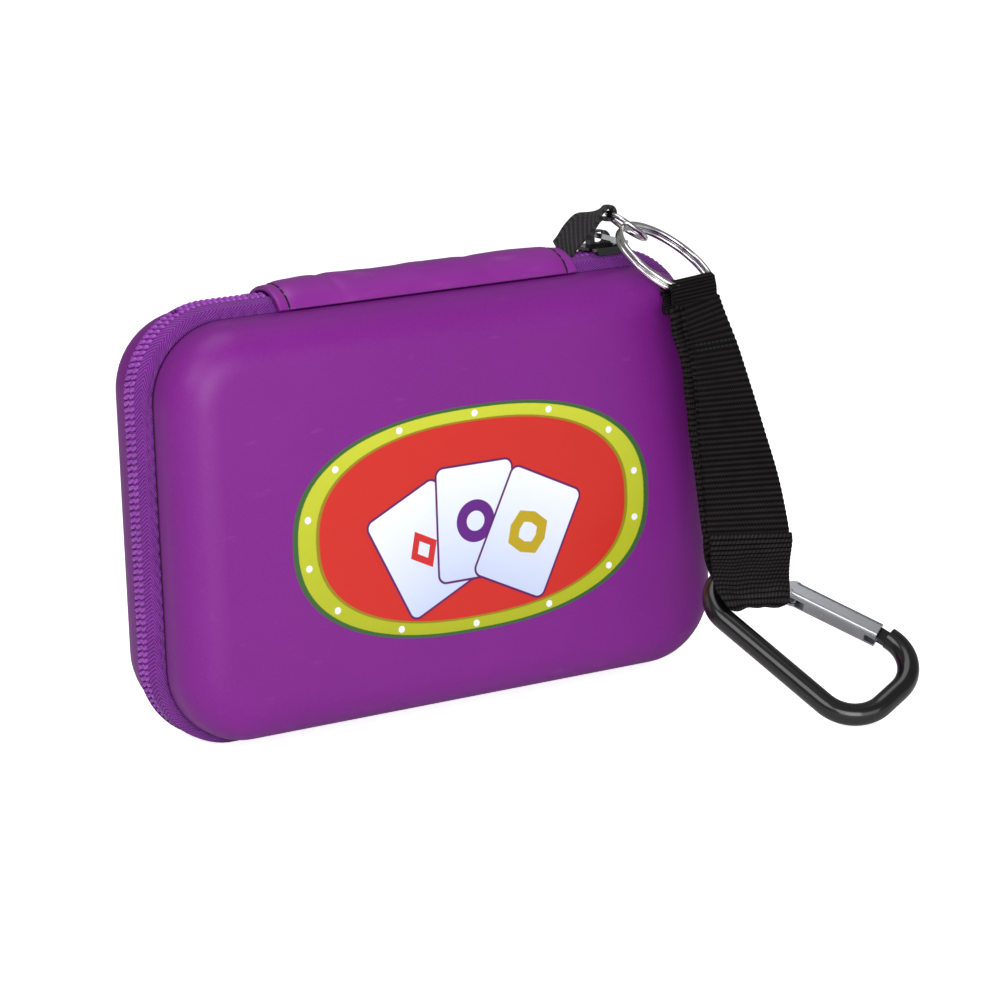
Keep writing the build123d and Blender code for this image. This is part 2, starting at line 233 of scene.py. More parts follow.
def badgeCard(f, colour, onFace, x, z, number):
    # One card with rounded corners, and a plain shape with a hole in it
    lean = math.radians(fan["leans"][number])
    dx = x - badge["x"]
    dz = z - (badge["z"] - fan["foot"])
    cx = dx * math.cos(lean) - dz * math.sin(lean)
    cz = dx * math.sin(lean) + dz * math.cos(lean) - fan["reaches"][number]
    pipX = cx.size()
    pipZ = cz.size()
    qx = (pipX - fan["halfWidth"]).highest(0.0)
    qz = (pipZ - fan["halfHeight"]).highest(0.0)
    edge = (qx * qx + qz * qz) ** 0.5
    pale = f.mix((cz + 14) / 28, tone(196, 208, 236), tone(238, 242, 252))
    colour = f.mix((1 - edge.above(*fan["borderEdge"])) * onFace, colour, tone(92, 26, 96))
    colour = f.mix((1 - edge.above(*fan["paperEdge"])) * onFace, colour, pale)
    diamond = pipX * 1.3 + pipZ
    disc = (cx * cx + cz * cz) ** 0.5
    octagon = pipX.highest(pipZ) + pipX.lowest(pipZ) * 0.25
    shape = (diamond, disc, octagon)[number]
    colour = f.mix((1 - shape.above(*fan["pipEdge"])) * onFace, colour, tone(*fan["tints"][number]))
    return f.mix((1 - shape.above(*fan["holeEdge"])) * onFace, colour, pale)


def shellFinish(name, printed):
    # Smooth coated foam, with painted shade where it meets the zipper tape
    f = Finish(name, IOR=1.46, Specular_IOR_Level=0.3)
    x, y, z = f.axes(f.place())
    cloud = f.noise(30, 2)
    grain = f.noise(0.5, 3)
    scuff = f.noise(7, 4, (1, 1, 3)).above(0.63, 0.8)
    base = f.mix(cloud, tone(109, 14, 121), tone(120, 22, 132))
    base = f.mix(grain * 0.25, base, tone(150, 70, 160))
    base = f.mix(scuff * 0.10, base, tone(170, 110, 176))
    rough = 0.36 + grain * 0.10 + scuff * 0.06
    # Painted shade: a dark band along the seam groove next to the zipper tape
    seam = 1 - y.size().above(6.9, 7.9)
    base = f.mix(seam, base, tone(10, 2, 14))
    height = grain
    if printed:
        base, inside = badgeLayers(f, base, x, y, z)
        rough = rough - inside * 0.08
        height = grain * (1 - inside * 0.7) + inside * 1.5
    f.colour(base)
    f.rough(rough)
    f.bump(height, 0.02, 0.7)
    return f.material


def twillFinish(name, dark, light, pitch, middle, slope, depth=0.12, shine=0.55):
    # Herringbone cloth: ribs that turn at the middle of the tape
    f = Finish(name, Sheen_Weight=0.05, Specular_IOR_Level=0.3)
    u, v = f.surface()
    ribs = ((u + (v - middle).size() * slope) / pitch).wave() * 0.5 + 0.5
    strands = ((u * 0.6 - (v - middle).size()) / (pitch * 0.55)).wave() * 0.5 + 0.5
    fuzz = f.noise(0.2, 2)
    cloud = f.noise(9, 2)
    height = ribs * 0.75 + ribs * strands * 0.25 + fuzz * 0.25
    # Colour follows the ribs: painted highlight on their crests and painted shade in the grooves, over a
    # random fibre and cloud tone
    shade = (ribs * 0.65 + fuzz * 0.35) * (cloud * 0.5 + 0.75)
    f.colour(f.mix(shade, dark, light))
    f.rough(shine + fuzz * 0.2)
    f.bump(height, depth)
    return f.material


def ribFinish(name, dark, light, pitch, strand, depth=0.22):
    # Ribbed webbing: a thick cord across for each rib, wrapped in fine strands that alternate
    f = Finish(name, Specular_IOR_Level=0.06)
    u, v = f.surface()
    line = v / pitch
    fall = line.part() * 2 - 1
    rib = 1 - fall * fall
    turn = (line.whole() * 0.5).part()
    twist = ((u + fall * 0.22) / strand + turn).wave() * 0.5 + 0.5
    fuzz = f.noise(0.14, 3)
    cloud = f.noise(5, 2)
    height = rib * 0.62 + rib * twist * 0.3 + fuzz * 0.2
    # Colour follows the ribs and strands: painted highlight on their tops and painted shade in the grooves,
    # over a random fibre and cloud tone
    shade = rib * rib * (twist * 0.6 + 0.25) * (cloud * 0.8 + 0.6) + fuzz * 0.1
    f.colour(f.mix(shade, dark, light))
    f.rough(0.62 - shade * 0.18)
    f.bump(height, depth)
    return f.material


def coilFinish(name):
    # Nylon, a little glossy
    f = Finish(name, IOR=1.5, Coat_Weight=0.2, Coat_Roughness=0.25)
    cloud = f.noise(6, 2)
    fine = f.noise(0.3, 2)
    f.colour(f.mix(cloud * 0.6 + fine * 0.4, tone(110, 30, 140), tone(178, 78, 200)))
    f.rough(0.30 + fine * 0.15)
    f.bump(fine, 0.03, 0.6)
    return f.material


def threadFinish(name, dark, light):
    # Twisted sewing thread
    f = Finish(name, Sheen_Weight=0.05, Specular_IOR_Level=0.2)
    twist = f.noise(0.25, 2, (1, 1, 2))
    f.colour(f.mix(twist, dark, light))
    f.rough(0.55 + twist * 0.2)
    f.bump(twist, 0.06)
    return f.material


def knitFinish(name, dark, light):
    # Brushed knit: rows of small loops, worked out in three directions so that it covers the corners too
    f = Finish(name, Sheen_Weight=0.5, Sheen_Roughness=0.5)
    x, y, z = f.axes(f.place())
    loops = ((x + y) / 1.1).wave() * ((z + y * 0.7) / 0.9).wave()
    fuzz = f.noise(0.3, 3)
    cloud = f.noise(14, 2)
    height = loops * 0.3 + fuzz * 0.9
    f.colour(f.mix(fuzz * 0.6 + loops * 0.12 + cloud * 0.25, dark, light))
    f.rough(0.8 + fuzz * 0.15)
    f.bump(height, 0.14)
    return f.material


def leatherFinish(name):
    # Coated cloth with a fine grain and pale creases
    f = Finish(name, IOR=1.48, Coat_Weight=0.12, Coat_Roughness=0.28, Specular_IOR_Level=0.35)
    grain = f.node("ShaderNodeTexVoronoi", None, {"Vector": f.place(), "Scale": 1 / (0.5 * mm)})
    cloud = f.noise(16, 3)
    crease = f.noise(5, 4, (0.35, 1, 1))
    base = f.mix(cloud, tone(122, 28, 134), tone(142, 46, 150))
    f.colour(f.mix(crease.above(0.56, 0.75) * 0.25, base, tone(178, 104, 182)))
    f.rough(0.30 + cloud * 0.12 + grain * 0.08)
    f.bump(crease * 0.8 + grain * 0.12, 0.16, 0.8)
    return f.material


def metalFinish(name, tint, rough, scratch=0.3):
    # Bare or plated metal with fine wear
    f = Finish(name, Metallic=1.0)
    marks = f.noise(1.2, 4)
    cloud = f.noise(7, 2)
    worn = f.mix(marks * scratch, tint, tone(120, 122, 126))
    f.colour(f.mix(cloud * 0.15, worn, tone(236, 238, 240)))
    f.rough(rough + marks * 0.12 * scratch + cloud * 0.05)
    f.bump(marks, 0.012 * scratch, 0.5)
    return f.material


def paintFinish(name, tint, rough, worn):
    # Gloss paint or anodising, with fine dust and hairlines
    f = Finish(name, IOR=1.52, Coat_Weight=0.8, Coat_Roughness=0.1, Specular_IOR_Level=0.2)
    dust = f.noise(0.7, 4)
    cloud = f.noise(9, 2)
    lines = f.noise(2.4, 5, (6, 1, 1)).above(0.6, 0.72)
    base = f.mix(dust * 0.05, tint, worn)
    f.colour(f.mix(lines * 0.04, base, worn))
    f.rough(rough + cloud * 0.06 + lines * 0.08)
    f.bump(dust, 0.008, 0.4)
    return f.material


# The decks, as the CAD has them: their middles lie at both sides of x = 0
deck = {
    "middle": 29.4, "halfWidth": 28.4, "centre": 50.55,
    "halfHeight": 44.45, "margin": 2.6, "lattice": 5,
    "card": 0.3, "faceEdge": (9.42, 9.46),
}


def deckFinish(name, tint):
    # Card backs on the two faces, and the cut edges of the cards between them
    f = Finish(name, IOR=1.45, Coat_Weight=0.15, Coat_Roughness=0.3)
    x, y, z = f.axes(f.place())
    side = ((x.size() - deck["middle"]).size() - deck["halfWidth"] + deck["margin"]).above(0, 0.15)
    ends = ((z - deck["centre"]).size() - deck["halfHeight"] + deck["margin"]).above(0, 0.15)
    border = side.highest(ends)
    first = ((x + z) / deck["lattice"]).part() - 0.5
    second = ((x - z) / deck["lattice"]).part() - 0.5
    lattice = 1 - (first.size().lowest(second.size())).above(0.05, 0.09)
    dots = 1 - (first * first + second * second).above(0.02, 0.03)
    pattern = f.mix(lattice, tint, tone(226, 222, 120))
    pattern = f.mix(dots, pattern, tone(230, 232, 240))
    back = f.mix(border, pattern, tone(240, 240, 236))
    cards = y / deck["card"]
    gap = (cards.part() - 0.5).size().above(0.36, 0.48)
    # Painted shade in the gaps between the cards, over a random tone for each card
    shade = f.random(cards.whole()) * 0.5 + gap * 0.5
    edges = f.mix(shade, tone(242, 240, 232), tone(176, 172, 160))
    f.colour(f.mix(y.size().above(*deck["faceEdge"]), edges, back))
    f.rough(0.42 + f.noise(0.6, 2) * 0.12)
    f.bump(gap * -1 + f.noise(0.5, 2) * 0.1, 0.05)
    return f.material


# The printed page of the leaflet: a coloured band over lines of plain strokes
page = {
    "halfWidthEdge": (46, 46.2), "lineHeight": 4.2, "wordLength": 27,
    "textLowEdge": (16, 16.2), "textHighEdge": (70, 70.2),
    "bandLowEdge": (76, 76.2), "bandHighEdge": (86, 86.2), "sheet": 0.25,
}


def paperFinish(name):
    f = Finish(name, IOR=1.4)
    x, y, z = f.axes(f.place())
    fibre = f.noise(0.4, 3)
    cloud = f.noise(20, 2)
    textLine = z / page["lineHeight"]
    rule = (textLine.part() - 0.5).size()
    inWidth = 1 - x.size().above(*page["halfWidthEdge"])
    lines = (1 - rule.above(0.06, 0.09)) * inWidth
    lines = lines * (1 - z.above(*page["textHighEdge"])) * z.above(*page["textLowEdge"])
    gap = (x / page["wordLength"] + textLine.whole() * 0.37).part().above(0.08, 0.1)
    band = z.above(*page["bandLowEdge"]) * (1 - z.above(*page["bandHighEdge"])) * inWidth
    paper = f.mix(cloud * 0.4 + fibre * 0.2, tone(240, 238, 230), tone(222, 218, 206))
    paper = f.mix(lines * gap * 0.7, paper, tone(120, 118, 126))
    paper = f.mix(band, paper, tone(132, 52, 146))
    # Painted shade along the fold
    fold = (x.size() - 0.4).size()
    f.colour(f.mix((1 - fold.above(0.1, 0.5)) * 0.3, paper, tone(150, 146, 136)))
    f.rough(0.62 + fibre * 0.15)
    f.bump(fibre * 0.3 + ((y / page["sheet"]).part() - 0.5).size(), 0.04)
    return f.material


finishes = {
    "frontShell": shellFinish("front_shell_print", True),
    "shell": shellFinish("shell_pu", False),
    "tape": twillFinish("zipper_tape_twill", tone(52, 6, 74), tone(158, 54, 184), 0.95, 1.7, 1.5, 0.22),
    "coil": coilFinish("coil_nylon"),
    "leather": leatherFinish("strip_pu"),
    "blackThread": threadFinish("black_thread", tone(4, 4, 5), tone(22, 20, 24)),
    "knit": knitFinish("knit_black", tone(10, 10, 12), tone(52, 50, 56)),
    "binding": ribFinish("binding_tape", tone(10, 10, 12), tone(70, 68, 74), 0.9, 0.6, 0.1),
    "tab": twillFinish("tab_herringbone", tone(2, 2, 2), tone(54, 50, 54), 1.6, 4.2, 0.8, 0.3, 0.5),
    "web": ribFinish("strap_webbing", tone(1, 1, 1), tone(50, 46, 48), webbingPitch, 0.62),
    "chrome": metalFinish("ring_chrome", tone(225, 224, 222), 0.10, 0.25),
    "pull": metalFinish("pull_chrome", tone(220, 222, 226), 0.14, 0.35),
    "silver": metalFinish("gate_silver", tone(184, 187, 192), 0.24),
    "springSteel": metalFinish("spring_steel", tone(170, 172, 176), 0.3),
    "blackGloss": paintFinish("clip_black", tone(4, 4, 5), 0.3, tone(70, 70, 74)),
    "sliderGloss": paintFinish("slider_black", tone(4, 4, 5), 0.2, tone(60, 60, 64)),
    "deckLeft": deckFinish("cards_left", tone(120, 40, 134)),
    "deckRight": deckFinish("cards_right", tone(150, 40, 60)),
    "paper": paperFinish("leaflet_paper"),
}
# Pieces that are shown as the CAD has them
cadFinishes = {
    "front_shell": "frontShell", "back_shell": "shell", "zipper_stops": "coil",
    "slider_body": "sliderGloss", "slider_crown": "sliderGloss",
    "slider_pull": "pull", "link_ring": "chrome", "split_ring": "chrome",
    "carabiner_frame": "blackGloss", "gate_pin": "silver",
    "carabiner_gate": "silver", "gate_spring": "springSteel",
    "card_deck_left": "deckLeft", "card_deck_right": "deckRight",
    "rules_leaflet": "paper",
}
for nodeName, finishName in cadFinishes.items():
    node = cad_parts[nodeName]
    node.data.materials.clear()
    node.data.materials.append(finishes[finishName])
print("finishes")


def alone(piece):
    bpy.ops.object.select_all(action="DESELECT")
    piece.select_set(True)
    bpy.context.view_layer.objects.active = piece


def mixed(a, b, share):
    return a + (b - a) * share


def curveThrough(points, steps):
    # Smooth line through the points, as a list with the given steps between each two
    made = []
    last = len(points) - 1
    for index in range(last):
        before = points[max(index - 1, 0)]
        start, end = points[index], points[index + 1]
        after = points[min(index + 2, last)]
        for step in range(steps):
            t = step / steps
            bend = (start * 2 + (end - before) * t + (before * 2 - start * 5 + end * 4 - after) * t ** 2
                    + (start * 3 - before - end * 3 + after) * t ** 3)
            made.append(bend * 0.5)
    made.append(points[last])
    return made


def turnOutwards():
    bpy.ops.mesh.select_all(action="SELECT")
    bpy.ops.mesh.normals_make_consistent(inside=False)
    bpy.ops.object.mode_set(mode="OBJECT")


def layersOf(piece):
    # The mesh that is being edited, and the layers with each vertex's column and level
    work = bmesh.from_edit_mesh(piece.data)
    return work, work.verts.layers.int["column"], work.verts.layers.int["level"]


def drawSheet(name, rows, closed=False, cap=False, marks=None):
    # A row of vertices is extruded to each next row
    bpy.ops.object.select_all(action="DESELECT")
    bpy.ops.mesh.primitive_circle_add(vertices=len(rows[0]), radius=0.01, calc_uvs=False)
    piece = bpy.context.object
    piece.name = name
    bpy.ops.object.mode_set(mode="EDIT")
    work = bmesh.from_edit_mesh(piece.data)
    column = work.verts.layers.int.new("column")
    work.verts.layers.int.new("level")
    work.verts.ensure_lookup_table()
    for index, vertex in enumerate(work.verts):
        vertex[column] = index
        vertex.co = rows[0][index] * mm
    if not closed:
        for edge in [e for e in work.edges if abs(e.verts[0][column] - e.verts[1][column]) > 1]:
            work.edges.remove(edge)
    for number, row in enumerate(rows[1:], 1):
        bmesh.update_edit_mesh(piece.data)
        bpy.ops.mesh.extrude_region()
        work, column, level = layersOf(piece)
        for vertex in work.verts:
            if vertex.select:
                vertex.co = row[vertex[column]] * mm
                vertex[level] = number
    bmesh.update_edit_mesh(piece.data)
    if cap:
        bpy.ops.mesh.edge_face_add()
    mapSheet(piece, rows, closed, marks)
    turnOutwards()
    return piece


def mapSheet(piece, rows, closed, marks):
    # The sheet's lengths in millimetres become its UV map
    work, column, level = layersOf(piece)
    count = len(rows[0])
    middle = rows[len(rows) // 2]
    across = walk(middle + middle[:1] if closed else middle)
    along = marks or walk([row[count // 2] for row in rows])
    layer = work.loops.layers.uv.new("UVMap")
    for face in work.faces:
        columns = [vertex[column] for vertex in face.verts]
        wraps = closed and 0 in columns and max(columns) == count - 1
        for corner in face.loops:
            place = corner.vert[column]
            place = count if wraps and place == 0 else place
            corner[layer].uv = (across[place], along[corner.vert[level]])
    bmesh.update_edit_mesh(piece.data)


def walk(points):
    # Length walked from the first point to each point
    made = [0.0]
    for a, b in zip(points, points[1:]):
        made.append(made[-1] + (b - a).length)
    return made


def thicken(piece, thickness, edge=0.0, smooth=35):
    alone(piece)
    solid = piece.modifiers.new("thickness", "SOLIDIFY")
    solid.thickness = thickness * mm
    solid.offset = 0
    bpy.ops.object.modifier_apply(modifier=solid.name)
    if edge:
        bevel = piece.modifiers.new("edge", "BEVEL")
        bevel.width = edge * mm
        bevel.segments = 2
        bevel.limit_method = "ANGLE"
        bevel.angle_limit = math.radians(50)
        bpy.ops.object.modifier_apply(modifier=bevel.name)
    bpy.ops.object.mode_set(mode="EDIT")
    turnOutwards()
    bpy.ops.object.shade_smooth_by_angle(angle=math.radians(smooth))


def basis(origin, sideways, along, outward):
    turned = Matrix((sideways, along, outward)).transposed().to_4x4()
    return Matrix.Translation(origin * mm) @ turned


def copies(model, places, name):
    # The model is copied to each place, each copy with its own mesh, and the copies are joined
    made = []
    for place in places:
        copy = model.copy()
        copy.data = model.data.copy()
        copy.data.transform(place)
        bpy.context.scene.collection.objects.link(copy)
        made.append(copy)
    bpy.data.objects.remove(model)
    bpy.ops.object.select_all(action="DESELECT")
    for copy in made:
        copy.select_set(True)
    bpy.context.view_layer.objects.active = made[0]
    bpy.ops.object.join()
    joined = bpy.context.object
    joined.name = name
    return joined


def paint(piece, finish):
    piece.data.materials.clear()
    piece.data.materials.append(finishes[finish])


# Places round the outline, clockwise from the middle of the top.
# Each has its share across, its share up and its normal's angle
def outlineStations(corner=18, half=54, side=60):
    made = [(step / half, 1.0, 0.0) for step in range(half)]
    made += [(1.0, 1.0, 90 * step / corner) for step in range(corner)]
    made += [(1.0, 1.0 - 2 * step / side, 90.0) for step in range(side)]
    made += [(1.0, -1.0, 90 + 90 * step / corner) for step in range(corner)]
    made += [(1.0 - step / half, -1.0, 180.0) for step in range(2 * half)]
    made += [(-1.0, -1.0, 180 + 90 * step / corner) for step in range(corner)]
    made += [(-1.0, -1.0 + 2 * step / side, 270.0) for step in range(side)]
    made += [(-1.0, 1.0, 270 + 90 * step / corner) for step in range(corner)]
    made += [(-1.0 + step / half, 1.0, 0.0) for step in range(half)]
    return made


def outlinePoint(station, row, lift=0.0, y=None):
    depth, side, top, bottom, radius = row
    across, up, angle = station
    turn = math.radians(angle)
    x = across * (case["width"] / 2 - side - radius)
    high = case["height"] - top - radius
    low = bottom + radius
    z = low + (high - low) * (up + 1) / 2
    reach = radius + lift
    return Vector((x + reach * math.sin(turn), depth if y is None else y, z + reach * math.cos(turn)))


def inBand(station):
    # True for the top run of the zipper, which stays shut
    up, angle = station[1:]
    return up == 1.0 and (angle < case["bandAngle"] or angle > 360 - case["bandAngle"])


def stationsOf(part, more=0):
    # All round, the rest without the top run, or the top run with a few more stations at each end
    ring = outlineStations()
    if part == "all":
        return ring
    split = [index for index, station in enumerate(ring) if not inBand(station)]
    if part == "lid":
        return ring[split[0]:split[-1] + 1]
    return ring[split[-1] + 1 - more:] + ring[:split[0] + more]


def rowBetween(first, second, share):
    return tuple(mixed(a, b, share) for a, b in zip(first, second))


# Zipper tape: flat from the coil outwards, then up to the seam, where the stitches dent its edge.
# Its rows have their share of the way, first from edge to flat and then from flat to seam, and their lift
tape = {
    "thickness": 0.8, "bevel": 0.12,
    "inner": ((0.12, 0.1), (0.4, 0.1), (0.7, 0.1)),
    "outer": ((0.0, 0.1), (0.3, 0.1), (0.6, 0.1), (0.85, 0.34), (1.04, 0.22), (1.05, -1.0), (1.05, -2.2)),
    "dent": 0.6, "dentPitch": 3.1, "dentDown": 0.5,
    "dentBack": 1.3, "dentMost": 1.25,
}


def dentShares(points):
    # How deep the seam's stitches pull the tape's edge in at each point, from 0 to 1
    turns = [2 * math.pi * walked / tape["dentPitch"] for walked in walk(points)]
    return [max(0.0, math.cos(turn)) ** 3 for turn in turns]


def zipperTape(name, facing, part, body, replaced):
    ring = stationsOf(part, more=1)
    edge, flat, seam = case["edge"], case["flat"], case["seam"]
    profile = [(rowBetween(edge, flat, share), lift) for share, lift in tape["inner"]]
    profile += [(rowBetween(flat, seam, share), lift) for share, lift in tape["outer"]]
    rows = []
    for number, (row, lift) in enumerate(profile):
        # The dents grow from the flat row outwards
        grown = min(tape["dentMost"], max(0, number - len(tape["inner"])) / 3)
        points = []
        for station, dent in zip(ring, dentShares([outlinePoint(station, row) for station in ring])):
            deep = tape["dent"] * dent
            down = lift - tape["thickness"] / 2 - tape["dentDown"] * deep * grown
            point = outlinePoint(station, row, down, facing * (row[0] - tape["dentBack"] * deep * grown))
            point.z = max(point.z, tape["thickness"] / 2)
            points.append(point)
        rows.append(points)
    piece = drawSheet(name, rows, part == "all")
    thicken(piece, tape["thickness"], tape["bevel"])
    paint(piece, "tape")
    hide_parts(replaced)
    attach(piece, body)


zipperTape("front_tape", -1, "all", "case", "front_zipper_tape")
zipperTape("lid_tape", 1, "lid", "lid", "back_zipper_tape")
zipperTape("band_tape", 1, "band", "case", "top_band_tape")
print("tapes")

# Coil: loops that lean over, in two rows that stand opposite each other's gaps.
# Under the strip, between gapLow and gapHigh, there are none
coil = {
    "pitch": 1.5, "radius": 0.6, "reach": 2.5,
    "lean": 24, "narrow": 0.45, "bend": 0.35,
    "apart": 0.12, "line": (0.0, 0.0, 0.0, 0.15, 21.0), "firstFront": 0.2,
    "firstBack": 0.95, "gapLow": -39.0, "gapHigh": 38.5,
    "gapAbove": 90,
    "core": ((0.3, 1.75), (0.9, 1.25), (1.7, 1.2), (2.6, 1.5)),
    "coreThickness": 0.5,
}


def bentRod(sides, radius, length, dip, narrow=0.0):
    # A short smooth rod, cut across three times, whose ends dip and can grow narrow
    half = length * mm / 2
    bpy.ops.object.select_all(action="DESELECT")
    bpy.ops.mesh.primitive_cylinder_add(vertices=sides, radius=radius * mm, depth=length * mm)
    rod = bpy.context.object
    bpy.ops.object.mode_set(mode="EDIT")
    work = bmesh.from_edit_mesh(rod.data)
    for vertex in work.verts:
        vertex.select_set(False)
    for edge in work.edges:
        edge.select_set(abs(edge.verts[0].co.z - edge.verts[1].co.z) > half)
    bmesh.update_edit_mesh(rod.data)
    bpy.ops.mesh.subdivide(number_cuts=3)
    work = bmesh.from_edit_mesh(rod.data)
    for vertex in work.verts:
        far = abs(vertex.co.z) / half
        thin = 1.0 - narrow * far ** 3
        vertex.co.x *= thin
        vertex.co.y = vertex.co.y * thin - dip * mm * far ** 2
    bmesh.update_edit_mesh(rod.data)
    bpy.ops.object.mode_set(mode="OBJECT")
    bpy.ops.object.shade_smooth()
    return rod


def walkOutline(ring, row, pitch, offset):
    # Evenly spaced places along the outline: point, direction and outward normal
    points = [outlinePoint(station, row) for station in ring]
    made = []
    ahead = offset
    for index in range(len(points) - 1):
        start, end = points[index], points[index + 1]
        span = (end - start).length
        while ahead < span:
            share = ahead / span
            turn = math.radians(mixed(ring[index][2], nearAngle(ring[index][2], ring[index + 1][2]), share))
            outward = Vector((math.sin(turn), 0, math.cos(turn)))
            made.append((mixed(start, end, share), (end - start).normalized(), outward))
            ahead += pitch
        ahead -= span
    return made


def nearAngle(first, second):
    return second + 360 if second < first - 180 else second


def zipperCoil(name, facing, part, body, replaced):
    ring = stationsOf(part)
    ring = ring + ring[:1] if part == "all" else ring
    places = []
    first = coil["firstFront"] if facing < 0 else coil["firstBack"]
    for point, along, outward in walkOutline(ring, coil["line"], coil["pitch"], first):
        if point.z > coil["gapAbove"] and coil["gapLow"] < point.x < coil["gapHigh"]:
            continue
        middle = point - outward * (coil["radius"] + 0.02)
        middle.y = facing * (coil["reach"] / 2 + coil["apart"])
        deep = Vector((0, facing, 0))
        sideways = outward.cross(deep)
        slant = Matrix.Rotation(math.radians(coil["lean"]), 3, outward)
        places.append(basis(middle, slant @ sideways, outward, slant @ deep))
    model = bentRod(8, coil["radius"], coil["reach"], coil["bend"], coil["narrow"])
    loops = copies(model, places, name)
    core = coilCore(name + "_core", facing, part)
    alone(loops)
    core.select_set(True)
    bpy.ops.object.join()
    paint(loops, "coil")
    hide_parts(replaced)
    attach(loops, body)


def coilCore(name, facing, part):
    # The cord under the loops, which also closes the gap below them
    ring = stationsOf(part)
    bottom, radius = coil["line"][3:]
    rows = []
    for depth, inset in coil["core"]:
        row = (facing * depth, inset, inset, inset + bottom, radius - inset)
        rows.append([outlinePoint(station, row) for station in ring])
    core = drawSheet(name, rows, part == "all")
    thicken(core, coil["coreThickness"])
    return core


zipperCoil("front_coil", -1, "all", "case", "front_zipper_coil")
zipperCoil("lid_coil", 1, "lid", "lid", "back_zipper_coil")
zipperCoil("band_coil", 1, "band", "case", "top_band_coil")
print("coils")

# Strip over the hinge side: smooth coated cloth, puffed a little and pulled into soft creases
strip = {
    "low": -39.7, "high": 39.8, "thickness": 1.1,
    "profile": [(8.0, 99.7), (7.4, 101.0), (6.3, 102.5), (4.4, 103.8), (2.3, 104.7)],
    "top": 105.0, "columns": 111, "levels": 27,
    # Each crease has its place, how far it slants, its width and its depth
    "creases": ((-22, -5, 1.5, 0.35), (17, -4, 2.0, 0.2)),
    "endWidth": 3.6, "endDepth": 0.9, "sewnWidth": 0.7,
    "sewnDepth": 0.3, "stitch": 2.7, "stitches": 9,
    "stitchRadius": 0.27, "stitchLength": 2.05,
    "bend": ((0, 3.4, 103), (0, 8.2, 103)),
}


def bell(distance, width):
    return math.exp(-(distance / width) ** 2)


def stripLine():
    # The strip's section, from the front foot over the top to the back foot
    half = [Vector((0, -y, z)) for y, z in strip["profile"]]
    line = half + [Vector((0, 0, strip["top"]))] + [Vector((0, -p.y, p.z)) for p in reversed(half)]
    return curveThrough(line, 6)


stripSection = stripLine()


def stripPoint(x, share):
    # Point of the strip's surface, its share from the front foot to the back one
    spot = share * (len(stripSection) - 1)
    index = min(int(spot), len(stripSection) - 2)
    start, end = stripSection[index:index + 2]
    point = mixed(start, end, spot - index)
    along = (end - start).normalized()
    outward = Vector((0, -along.z, along.y))
    middle = math.sin(math.pi * share)
    broad = noise.noise(Vector((x / 17, share * 1.6, 3.1))) * 0.28
    soft = broad + noise.noise(Vector((x / 5, share * 3, 8.7))) * 0.14
    creased = sum(-deep * bell(x - at - slant * share, width) for at, slant, width, deep in strip["creases"])
    ends = -strip["endDepth"] * sum(bell(x - strip[end], strip["endWidth"]) for end in ("low", "high"))
    sewn = sum(-strip["sewnDepth"] * bell(x - at, strip["sewnWidth"]) for at in stitchLines())
    lift = (soft + creased) * middle + ends * middle + sewn
    return Vector((x, point.y, point.z)) + outward * lift, along, outward


def stitchLines():
    return (strip["low"] + strip["stitch"], strip["high"] - strip["stitch"])


def hingeStrip():
    columns, levels = strip["columns"], strip["levels"]
    xs = [mixed(strip["low"], strip["high"], index / (columns - 1)) for index in range(columns)]
    rows = [[stripPoint(x, level / (levels - 1))[0] for x in xs] for level in range(levels)]
    piece = drawSheet("strip_cover", rows)
    thicken(piece, strip["thickness"], edge=0.3)
    paint(piece, "leather")
    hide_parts("hinge_strip")
    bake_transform(piece)


def stitch(radius, length):
    return bentRod(6, radius, length, radius * 0.8)


def stripStitches():
    places = []
    for x in stitchLines():
        for number in range(strip["stitches"]):
            share = 0.08 + 0.84 * number / (strip["stitches"] - 1)
            point, along, outward = stripPoint(x, share)
            centre = point + outward * (strip["thickness"] / 2 + 0.02)
            places.append(basis(centre, outward.cross(along), outward, along))
    piece = copies(stitch(strip["stitchRadius"], strip["stitchLength"]), places, "strip_thread")
    paint(piece, "blackThread")
    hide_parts("hinge_strip_stitching")
    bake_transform(piece)


# Cloth across the hinge side, inside, which sags a little between the halves
spine = {
    "reach": 5.7, "height": 97.4, "sag": 0.5,
    "thickness": 0.6,
    "bend": ((0, -5.5, 97), (0, 5.5, 97)),
}


def spineCloth():
    xs = [mixed(strip["low"], strip["high"], index / 40) for index in range(41)]
    reach = spine["reach"]
    rows = []
    for level in range(9):
        y = mixed(-reach, reach, level / 8)
        low = spine["height"] - spine["sag"] * (1 - (y / reach) ** 2)
        rows.append([Vector((x, y, low + 0.1 * noise.noise(Vector((x / 6, y, 1))))) for x in xs])
    piece = drawSheet("spine_cloth", rows)
    thicken(piece, spine["thickness"])
    paint(piece, "knit")
    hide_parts("spine_lining")
    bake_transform(piece)


hingeStrip()
stripStitches()
spineCloth()
print("strip")

# Linings: cloth over foam inside each half, and a binding tape over the seam
inside = {"start": 9.0, "floor": 16.65, "wall": 3.3, "edge": 6.6, "thickness": 0.45}
bindingTape = {
    "profile": ((6.1, 3.25), (6.9, 3.32), (8.0, 3.32), (8.9, 3.26)),
    "thickness": 0.42, "bevel": 0.08, "stitchRow": (8.3, 3.62),
    "stitchPitch": 2.6, "stitchRadius": 0.16, "stitchLength": 1.9,
}


def insideRow(depth, inset):
    seam = case["seam"]
    return (depth, seam[1] + inset, seam[2] + inset, seam[3] + inset, seam[4] - inset)


def insideRows(ring, facing, profile):
    return [[outlinePoint(s, insideRow(facing * depth, inset)) for s in ring] for depth, inset in profile]


